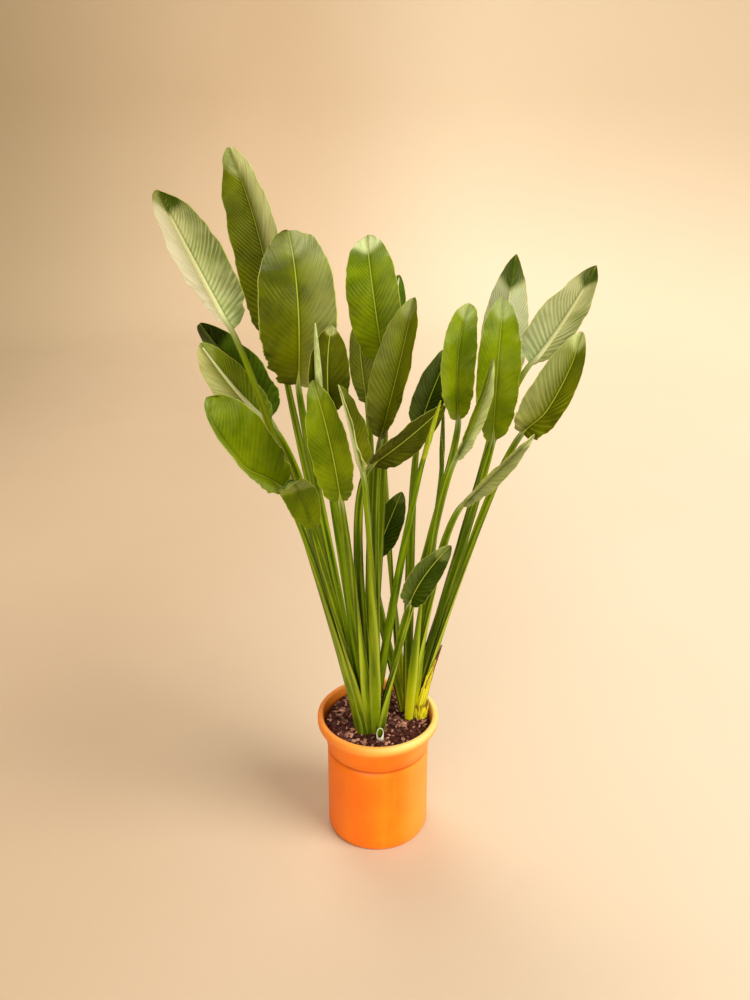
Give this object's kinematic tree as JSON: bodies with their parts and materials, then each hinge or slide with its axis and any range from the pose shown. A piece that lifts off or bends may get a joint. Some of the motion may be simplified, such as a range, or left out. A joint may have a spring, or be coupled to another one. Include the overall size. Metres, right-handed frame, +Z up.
{
  "type": "potted bird of paradise",
  "caption": "Tall house plant: long-stalked, folded paddle leaves in two clumps, standing in dark bark mix in a round orange plastic nursery pot with a rolled lip.",
  "frame": {"origin": "centre of the pot's flat bottom", "axes": "+Z up out of the pot, -Y towards the side that the picture shows, +X to the right in the picture"},
  "size_m": [0.6901, 0.4554, 1.306],
  "materials": {
    "pot_plastic": "satin",
    "bark_mix": "matte",
    "stalk": "satin",
    "leaf_olive": "satin",
    "leaf_bright": "satin",
    "leaf_dark": "satin",
    "leaf_pale": "satin",
    "dried_sheath": "matte",
    "cut_base": "satin"
  },
  "bodies": {
    "root": {"pot": "pot_plastic", "pot_lip": "pot_plastic", "soil": "bark_mix", "cut_leaf_base": "cut_base", "front_leaf_01_blade": "leaf_pale", "front_leaf_01_stalk": "stalk", "front_leaf_02_blade": "leaf_olive", "front_leaf_02_stalk": "stalk", "front_leaf_03_blade": "leaf_olive", "front_leaf_03_stalk": "stalk", "front_leaf_04_blade": "leaf_dark", "front_leaf_04_stalk": "stalk", "front_leaf_05_blade": "leaf_pale", "front_leaf_05_stalk": "stalk", "front_leaf_06_blade": "leaf_bright", "front_leaf_06_stalk": "stalk", "front_leaf_07_blade": "leaf_bright", "front_leaf_07_stalk": "stalk", "front_leaf_08_blade": "leaf_dark", "front_leaf_08_stalk": "stalk", "front_leaf_09_blade": "leaf_olive", "front_leaf_09_stalk": "stalk", "front_leaf_10_blade": "leaf_pale", "front_leaf_10_stalk": "stalk", "front_leaf_11_blade": "leaf_olive", "front_leaf_11_stalk": "stalk", "front_leaf_12_blade": "leaf_dark", "front_leaf_12_stalk": "stalk", "front_leaf_13_blade": "leaf_olive", "front_leaf_13_stalk": "stalk", "front_leaf_14_blade": "leaf_olive", "front_leaf_14_stalk": "stalk", "front_leaf_15_blade": "leaf_bright", "front_leaf_15_stalk": "stalk", "front_leaf_16_blade": "leaf_dark", "front_leaf_16_stalk": "stalk", "front_spear_left": "leaf_pale", "front_spear_right": "leaf_bright", "old_sheath": "dried_sheath", "rear_leaf_01_blade": "leaf_dark", "rear_leaf_01_stalk": "stalk", "rear_leaf_02_blade": "leaf_dark", "rear_leaf_02_stalk": "stalk", "rear_leaf_03_blade": "leaf_pale", "rear_leaf_03_stalk": "stalk", "rear_leaf_04_blade": "leaf_bright", "rear_leaf_04_stalk": "stalk", "rear_leaf_05_blade": "leaf_pale", "rear_leaf_05_stalk": "stalk", "rear_leaf_06_blade": "leaf_pale", "rear_leaf_06_stalk": "stalk", "rear_leaf_07_blade": "leaf_olive", "rear_leaf_07_stalk": "stalk", "rear_leaf_08_blade": "leaf_olive", "rear_leaf_08_stalk": "stalk", "rear_leaf_09_blade": "leaf_dark", "rear_leaf_09_stalk": "stalk", "rear_spear": "leaf_dark"}
  },
  "joints": []
}
